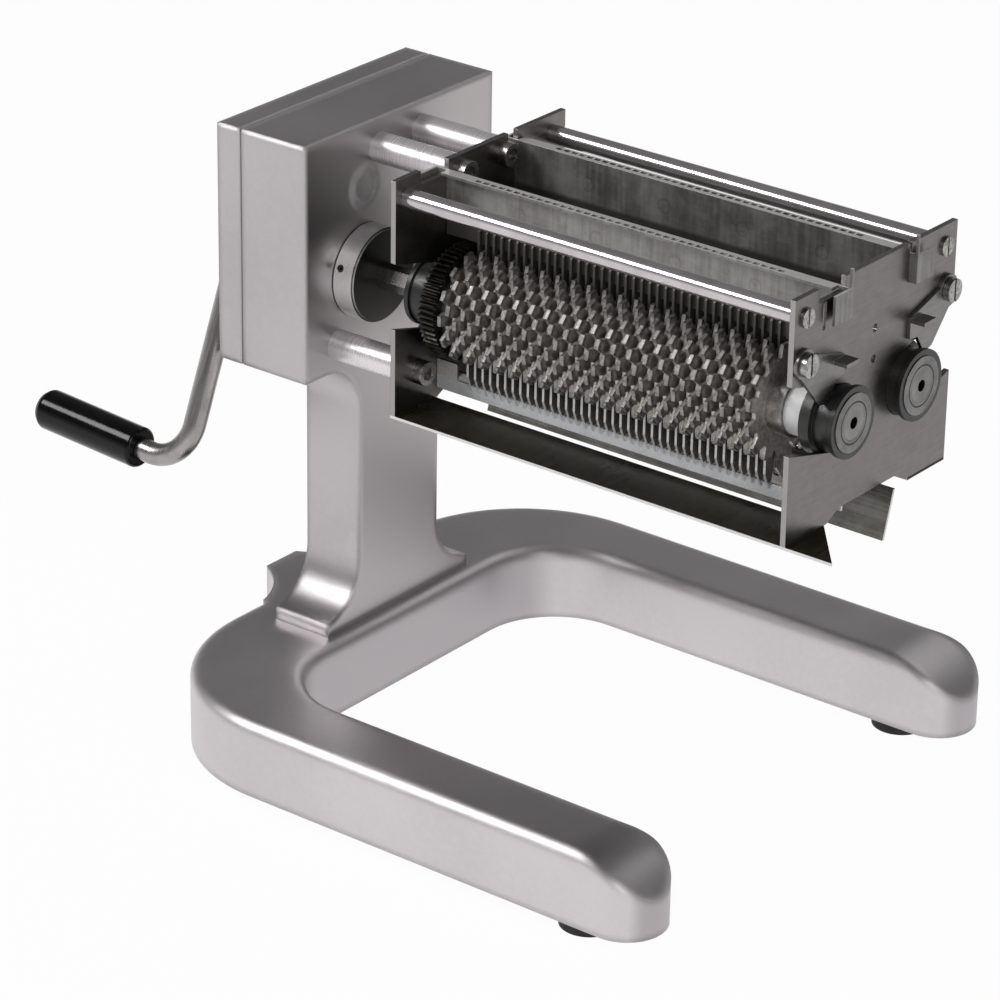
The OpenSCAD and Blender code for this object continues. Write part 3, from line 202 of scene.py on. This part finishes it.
# Base casting. One U-shaped aluminium casting, blasted to a fine grain and then linished on
# its broad faces, so it carries a soft, cloudy tone with rounded, brighter edges. Its end faces are painted
# darker, as shade.


def cast_finish(name, pale, dark, end_shade, edge):
    """Cast aluminium; the third colour is painted shade for its end faces, edge the radius its rims are
    rubbed to.
    """
    finish = Finish(name, 1.0)
    # End faces, those facing X, get a darker colour: painted shade.
    end_face_shade = finish.ramp(finish.facing()[0], 0.6, 0.9)
    cloud = finish.noise(9.0, 3.0, 0.5)
    grain = finish.noise(1500.0, 2.0, 0.7)
    pits = finish.noise(260.0, 3.0, 0.6)
    tone = finish.ramp(cloud * 0.6 + pits * 0.15 + grain * 0.25, 0.38, 0.62)
    finish.give(Base_Color=finish.colours(end_face_shade, finish.colours(tone, dark, pale), end_shade),
                Roughness=finish.ramp(grain * 0.4 + cloud * 0.6, 0.35, 0.65, 0.34, 0.42),
                Normal=finish.bump(grain + pits * 0.4, 0.00004, edge))
    return finish


cast_finish("cast_base", (0.66, 0.628, 0.64), (0.58, 0.552, 0.56), (0.44, 0.415, 0.43), 0.008).dress(
    "base_casting")

# Feet and bolts of the base. Four moulded rubber pads, each held up in a seat under the casting
# by one screw, and the two bolts that hold the column down.


def rubber_finish(name, colour, worn):
    """Matt rubber with dust rubbed into it."""
    finish = Finish(name, 0.0)
    dust = finish.noise(140.0, 5.0, 0.7)
    finish.give(Base_Color=finish.colours(finish.ramp(dust, 0.45, 0.75), colour, worn),
                Roughness=finish.ramp(dust, 0.3, 0.7, 0.55, 0.8),
                Normal=finish.bump(finish.noise(700.0, 2.0), 0.00008))
    return finish


def screw_finish(name, colour, dark):
    """A screw head, bright where the driver wore it and stained elsewhere."""
    finish = Finish(name, 1.0)
    stain = finish.noise(420.0, 5.0, 0.7)
    finish.give(Base_Color=finish.colours(finish.ramp(stain, 0.4, 0.65), colour, dark),
                Roughness=finish.ramp(stain, 0.3, 0.7, 0.18, 0.38),
                Normal=finish.bump(stain, 0.00004, 0.0005))
    return finish


rubber_finish("rubber_feet", (0.010, 0.010, 0.010), (0.028, 0.027, 0.025)).dress("foot_pads")
screw_finish("screw_foot", (0.55, 0.54, 0.52), (0.32, 0.31, 0.30)).dress("foot_screws", "column_bolts")

# Gear housing with its column, and the rear cover. Both are cast like the base, with end faces
# painted darker as shade; a pressed gasket sheet lies between them, and six socket screws hold the cover.
cast_finish("cast_housing", (0.53, 0.505, 0.515), (0.46, 0.437, 0.445), (0.46, 0.435, 0.44),
            0.005).dress("gear_housing", "rear_cover")
rubber_finish("gasket_sheet", (0.03, 0.03, 0.03), (0.06, 0.058, 0.055)).dress("cover_gasket")
screw_finish("screw_cover", (0.58, 0.57, 0.55), (0.34, 0.33, 0.31)).dress("cover_screws")

# Bushes of the gear housing. Plain bearings of sintered bronze with oil in its pores, pressed
# into the castings' bores.
bronze = Finish("bronze_bush", 1.0)
bronze_oil = bronze.noise(500.0, 4.0, 0.7)
bronze.give(Base_Color=bronze.colours(bronze_oil, (0.30, 0.17, 0.07), (0.52, 0.33, 0.15)),
            Roughness=bronze.ramp(bronze_oil, 0.3, 0.7, 0.3, 0.5), Normal=bronze.bump(bronze_oil, 0.00005))
bronze.dress("crank_bushes", "drive_bushes")

# Reduction gears. Steel wheels cut on a hobbing machine, dark with oil between the teeth, each
# held on its shaft by a black set screw.


def oiled_finish(name, colour, dark, rough):
    """Machined steel under a patchy film of oil."""
    finish = Finish(name, 1.0)
    film = finish.noise(180.0, 5.0, 0.65)
    finish.give(Base_Color=finish.colours(finish.ramp(film, 0.38, 0.66), colour, dark),
                Roughness=finish.ramp(film, 0.3, 0.7, rough, rough + 0.2),
                Normal=finish.bump(film, 0.00006, 0.0003))
    return finish


oiled_finish("gear_oiled", (0.20, 0.195, 0.19), (0.08, 0.078, 0.075), 0.25).dress(
    "drive_wheel", "crank_pinion")
screw_finish("screw_black", (0.10, 0.10, 0.10), (0.05, 0.05, 0.05)).dress(
    "drive_wheel_screw", "coupling_screw", "pinion_screw")

# Shafts, posts and coupling. They are turned from steel bar, with faint rings left by the
# lathe; the posts are polished, and the coupling disc has a bright rim and a face painted dark as shade.


def turned_finish(name, colour, dark, rough, rings_scale=2600.0):
    """Bar steel turned along X; rings_scale is how close the tool marks lie."""
    finish = Finish(name, 1.0)
    rings = finish.noise(1.0, 2.0, 0.5, (rings_scale, 40.0, 40.0))
    haze = finish.noise(60.0, 4.0, 0.6)
    finish.tone = finish.colours(finish.ramp(haze, 0.35, 0.7), colour, dark)
    finish.give(Base_Color=finish.tone,
                Roughness=finish.ramp(rings * 0.6 + haze * 0.4, 0.3, 0.7, rough * 0.75, rough * 1.4),
                Normal=finish.bump(rings, 0.000004))
    return finish


turned_finish("steel_shafts", (0.62, 0.60, 0.59), (0.44, 0.43, 0.42), 0.2).dress(
    "crank_shaft", "drive_shaft")
posts = turned_finish("steel_posts", (0.82, 0.787, 0.805), (0.70, 0.672, 0.69), 0.3)
posts.give(Metallic=0.65)
posts.dress("spacer_posts")
screw_finish("screw_post", (0.50, 0.48, 0.46), (0.26, 0.25, 0.24)).dress("post_bolts")
coupling = turned_finish("steel_coupling", (0.95, 0.93, 0.93), (0.80, 0.78, 0.78), 0.34, 900.0)
# The disc's faces toward X are painted dark, as shade.
coupling_face_shade = coupling.ramp(coupling.facing()[0], 0.6, 0.9)
coupling.give(Base_Color=coupling.colours(coupling_face_shade, coupling.tone, (0.10, 0.097, 0.094)),
              Metallic=coupling_face_shade * 0.3 + 0.7)
coupling.dress("coupling_disc")

# End plates. Rolled stainless sheet, ground with long strokes and smudged where hands have
# been; its dark tone is painted shade on the plates' faces, and the cut edges carry a painted highlight,
# brighter than the faces.


def sheet_finish(name, pale, dark, rough, strokes, rim, rim_highlight):
    """Ground sheet; strokes stretch its scratches, rim is the axis its cut edges face, and the last colour is
    a painted highlight on those edges.
    """
    finish = Finish(name, 1.0)
    stroke = finish.noise(1.0, 4.0, 0.65, strokes)
    smudge = finish.noise(26.0, 5.0, 0.65)
    spots = finish.noise(170.0, 3.0, 0.6)
    tone = finish.ramp(stroke * 0.4 + smudge * 0.4 + spots * 0.2, 0.38, 0.62)
    # Cut edges get a paler colour: a painted highlight.
    cut = finish.ramp(finish.facing()[rim], 0.6, 0.8)
    finish.give(Base_Color=finish.colours(cut, finish.colours(tone, dark, pale), rim_highlight),
                Roughness=finish.ramp(smudge * 0.7 + stroke * 0.3, 0.32, 0.68, rough * 0.8, rough * 1.3),
                Normal=finish.bump(stroke, 0.00001, 0.0004))
    return finish


# The plates' dark colours are painted shade.
sheet_finish("plate_ground", (0.215, 0.203, 0.198), (0.165, 0.156, 0.152), 0.34, (40.0, 60.0, 900.0), 1,
             (0.36, 0.345, 0.34)).dress("rear_plate", "front_plate")

# Tie rods. Two polished steel bars across the top of the cassette, each held by a slotted
# screw through either end plate; the latches' screws are of the same kind.
rods = turned_finish("steel_tie_rods", (0.60, 0.567, 0.582), (0.50, 0.472, 0.485), 0.13)
rods.give(Metallic=0.85)
rods.dress("tie_rods")
screw_finish("screw_slotted", (0.42, 0.41, 0.39), (0.20, 0.195, 0.19)).dress(
    "tie_rod_screws", "latch_screws")

# Guide sheets and exit combs. Thinner stainless sheet under the rollers, with dried splashes;
# the guide sheets are painted nearly black as the shade under the rollers, the exit combs are dark, and both
# carry a painted highlight along their cut edges.
# Nearly black: painted shade under the rollers; the pale last colour is a painted highlight.
guide = sheet_finish("guide_sheet", (0.030, 0.026, 0.018), (0.012, 0.010, 0.006), 0.3, (330.0, 12.0, 12.0), 1,
                     (0.90, 0.89, 0.89))
guide.give(Metallic=0.0, IOR=1.2)
guide.dress("guide_sheets")
sheet_finish("exit_sheet", (0.26, 0.25, 0.235), (0.13, 0.123, 0.112), 0.26, (8.0, 900.0, 900.0), 0,
             (0.60, 0.58, 0.57)).dress("exit_comb_left", "exit_comb_right")

# Outer combs. Each is a polished stainless strip below a roller, with welded fingers that
# reach up between the discs. The strip is painted nearly white, as the reflection of the floor; the fingers'
# edges carry a painted highlight and their flanks painted shade.
comb = Finish("comb_sheet", 0.2)
comb_strip_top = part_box("outer_comb_left")[0][2] + 0.0075
comb_weld = 0.0007
comb_haze = comb.noise(90.0, 4.0, 0.6)
comb_z = comb.split(comb.place())[2]
comb_claw = comb.ramp(comb_z, comb_strip_top - comb_weld, comb_strip_top + comb_weld)
# Strip: a painted reflection of the white floor.
comb_strip_reflection = comb.colours(comb.ramp(comb_haze, 0.35, 0.7), (0.93, 0.94, 0.96), (0.80, 0.81, 0.83))
# Fingers: edges facing Y painted light as a highlight, flanks painted dark as shade.
comb_finger_highlight_and_shade = comb.colours(comb.ramp(comb.facing()[1], 0.5, 0.8), (0.12, 0.113, 0.10), (0.78, 0.765, 0.75))
comb.give(Base_Color=comb.colours(comb_claw, comb_strip_reflection, comb_finger_highlight_and_shade),
          Roughness=comb.ramp(comb_haze, 0.3, 0.7, 0.2, 0.32), Normal=comb.bump(comb_haze, 0.00002, 0.0004))
comb.dress("outer_comb_left", "outer_comb_right")

# Roller bearings. Moulded black plastic blocks that slide into the plates' slots, with ground
# steel sleeves pressed in, whose faces carry one turned groove, painted dark as shade.


def plastic_finish(name, colour, second, rough, grain):
    """Moulded plastic with a fine skin."""
    finish = Finish(name, 0.0, 1.49)
    haze = finish.noise(70.0, 4.0, 0.6)
    skin = finish.noise(grain, 3.0, 0.6)
    finish.give(Base_Color=finish.colours(finish.ramp(haze, 0.35, 0.7), colour, second),
                Roughness=finish.ramp(skin, 0.3, 0.7, rough, rough * 1.5),
                Normal=finish.bump(skin, 0.00003, 0.0005))
    return finish


plastic_finish("plastic_black", (0.010, 0.010, 0.010), (0.022, 0.021, 0.019), 0.28, 800.0).dress(
    "bearing_blocks")
shaft_low, shaft_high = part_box("roller_shaft_right")
shaft_axis = ((shaft_low[1] + shaft_high[1]) / 2, (shaft_low[2] + shaft_high[2]) / 2)
groove_in, groove_out, groove_lip = 0.0100, 0.0111, 0.0003
sleeve = Finish("steel_sleeves", 1.0)
sleeve_haze = sleeve.noise(90.0, 4.0, 0.6)
_, sleeve_y, sleeve_z = sleeve.split(sleeve.place())
sleeve_r = ((abs(sleeve_y) - shaft_axis[0]) ** 2.0 + (sleeve_z - shaft_axis[1]) ** 2.0) ** 0.5
sleeve_groove_and_shade = (sleeve.ramp(sleeve_r, groove_in, groove_in + groove_lip)
                 * sleeve.ramp(sleeve_r, groove_out - groove_lip, groove_out, 1.0, 0.0))
sleeve_tone = sleeve.colours(sleeve.ramp(sleeve_haze, 0.35, 0.7),
                             (0.20, 0.193, 0.192), (0.14, 0.135, 0.133))
# The groove is painted near black, as shade.
sleeve.give(Base_Color=sleeve.colours(sleeve_groove_and_shade, sleeve_tone, (0.03, 0.03, 0.028)),
            Roughness=sleeve.ramp(sleeve_haze, 0.3, 0.7, 0.26, 0.4),
            Normal=sleeve.bump(1 - sleeve_groove_and_shade, 0.0002, 0.0004))
sleeve.dress("bearing_sleeves")

# Roller shafts, gears and rings. Hexagon steel shafts carry a fine-toothed gear, dark with
# oil, and plain rings at both ends; a white plastic bush takes the thrust at the front.
turned_finish("steel_rollers", (0.23, 0.222, 0.22), (0.16, 0.154, 0.152), 0.26).dress(
    "roller_shaft_left", "roller_shaft_right")
oiled_finish("gear_black", (0.045, 0.042, 0.037), (0.018, 0.017, 0.014), 0.34).dress(
    "roller_gear_left", "roller_gear_right")
oiled_finish("ring_plain", (0.36, 0.35, 0.34), (0.2, 0.195, 0.19), 0.25).dress(
    "end_rings_left", "end_rings_right")
plastic_finish("plastic_white", (0.96, 0.95, 0.955), (0.90, 0.89, 0.89), 0.32, 400.0).dress(
    "thrust_bush_left", "thrust_bush_right")

# Blade discs and the spacers between them. Stamped stainless discs, ground grey at the tips of
# the teeth, where small nicks shine; nearer the axis the discs are painted paler, as light that lifts the
# shade deep between them. The spacers between them are dull with oil and painted pale for the same reason.
tooth_ground_from, tooth_ground_full = 0.0262, 0.0296


def blade_finish(name, node):
    """The discs of one roller; their tone follows the distance from its axis."""
    finish = Finish(name, 1.0)
    low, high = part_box(node)
    axis_y, axis_z = (low[1] + high[1]) / 2, (low[2] + high[2]) / 2
    _, y, z = finish.split(finish.place())
    radius = ((y - axis_y) ** 2.0 + (z - axis_z) ** 2.0) ** 0.5
    film = finish.noise(420.0, 4.0, 0.65)
    nicks = finish.ramp(finish.noise(1100.0, 2.0, 0.7), 0.60, 0.68)
    tip = finish.ramp(radius, tooth_ground_from, tooth_ground_full)
    patches = finish.ramp(film, 0.35, 0.65)
    # Paler towards the axis: painted light against the shade between the discs.
    flank_painted_light = finish.colours(patches, (0.50, 0.475, 0.445), (0.72, 0.69, 0.66))
    ground = finish.colours(patches, (0.19, 0.182, 0.174), (0.36, 0.348, 0.34))
    worn = finish.colours(tip, flank_painted_light, ground)
    finish.give(Base_Color=finish.colours(nicks * tip * 0.5, worn, (0.75, 0.74, 0.72)),
                Roughness=finish.ramp(film, 0.3, 0.7, 0.42, 0.62),
                Normal=finish.bump(film, 0.00012, 0.0005))
    return finish


blade_finish("blade_left", "blade_discs_left").dress("blade_discs_left")
blade_finish("blade_right", "blade_discs_right").dress("blade_discs_right")
# Pale colour: painted light against the shade between the discs.
oiled_finish("spacer_oiled", (0.56, 0.535, 0.51), (0.38, 0.362, 0.34), 0.45).dress(
    "blade_spacers_left", "blade_spacers_right")

# Hopper walls. Sheet with comb fingers welded on, which shows as upright ripples, with upright
# bands of painted sheen in the tone, and as a line of faint spot-weld rings; the fingers below are painted
# dark as the shade deep in the hopper, and the faces looking up carry a painted highlight. The slotted rim
# and the hooks are bent from the sheet.
wall = Finish("wall_stained", 0.55)
wall_low, wall_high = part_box("hopper_wall_left")
weld_start, weld_pitch, weld_drop = 0.03, 0.0475, 0.023
weld_in, weld_out, weld_soft = 0.0026, 0.0045, 0.0006
finger_drop, finger_soft = 0.034, 0.003
wall_x, _, wall_z = wall.split(wall.place())
wall_stroke = wall.noise(1.0, 4.0, 0.65, (14.0, 900.0, 900.0))
wall_stain = wall.noise(42.0, 6.0, 0.7)
wall_ripple_and_sheen = wall.noise(1.0, 3.0, 0.6, (330.0, 330.0, 12.0))
weld_x = wall.node("Math", {"operation": "WRAP"},
                   {0: wall_x - (wall_low[0] + weld_start), 1: weld_pitch, 2: 0.0})
weld_r = ((weld_x - weld_pitch / 2) ** 2.0 + (wall_z - (wall_high[2] - weld_drop)) ** 2.0) ** 0.5
weld = (wall.ramp(weld_r, weld_in, weld_in + weld_soft)
        * wall.ramp(weld_r, weld_out - weld_soft, weld_out, 1.0, 0.0))
# The upright bands in the tone are painted sheen.
wall_tone = wall.ramp(wall_stroke * 0.08 + wall_stain * 0.6 + wall_ripple_and_sheen * 0.32, 0.36, 0.64)
wall_face = wall.colours(wall_tone, (0.16, 0.152, 0.143), (0.33, 0.32, 0.31))
wall_marked = wall.colours(weld * 0.18, wall_face, (0.06, 0.058, 0.055))
# Below the finger line the wall is painted dark, as shade.
wall_above = wall.ramp(wall_z, wall_high[2] - finger_drop, wall_high[2] - finger_drop + finger_soft)
wall_shaded_low = wall.colours(wall_above, (0.075, 0.07, 0.06), wall_marked)
# Faces looking up get a pale painted highlight.
wall.give(Base_Color=wall.colours(wall.ramp(wall.facing()[2], 0.6, 0.8), wall_shaded_low, (0.66, 0.65, 0.64)),
          Roughness=wall.ramp(wall_stain, 0.3, 0.7, 0.34, 0.52),
          Normal=wall.bump(wall_ripple_and_sheen * 0.5 - weld, 0.00005, 0.0003))
wall.dress("hopper_wall_left", "hopper_wall_right")

# Latches. Small ground stainless plates that turn on shouldered screws and close the bearing
# slots; one ear of each is bent forward for the finger. Their dark tone is painted shade, as on the end
# plates, and their edges facing up and down carry a painted highlight.
sheet_finish("latch_ground", (0.24, 0.23, 0.225), (0.17, 0.163, 0.16), 0.3, (900.0, 60.0, 900.0), 2,
             (0.30, 0.29, 0.28)).dress("latch_left", "latch_right")

# Crank. A bar bent from polished round steel and welded into its hub, which a set screw holds
# on the shaft. The grip's washer and screw are plain steel too.
turned_finish("steel_crank", (0.40, 0.385, 0.38), (0.29, 0.28, 0.272), 0.26, 500.0).dress("crank_arm")
screw_finish("screw_crank", (0.60, 0.58, 0.56), (0.34, 0.33, 0.31)).dress(
    "crank_hub_screw", "grip_washer", "grip_screw")

# Hand grip. A sleeve of glossy black plastic that turns freely on the bar's end, between the
# bar's shoulder and a washer.
grip = plastic_finish("plastic_grip", (0.0012, 0.0012, 0.0012), (0.003, 0.003, 0.003), 0.1, 300.0)
grip.give(IOR=1.33)
grip.dress("grip_sleeve")
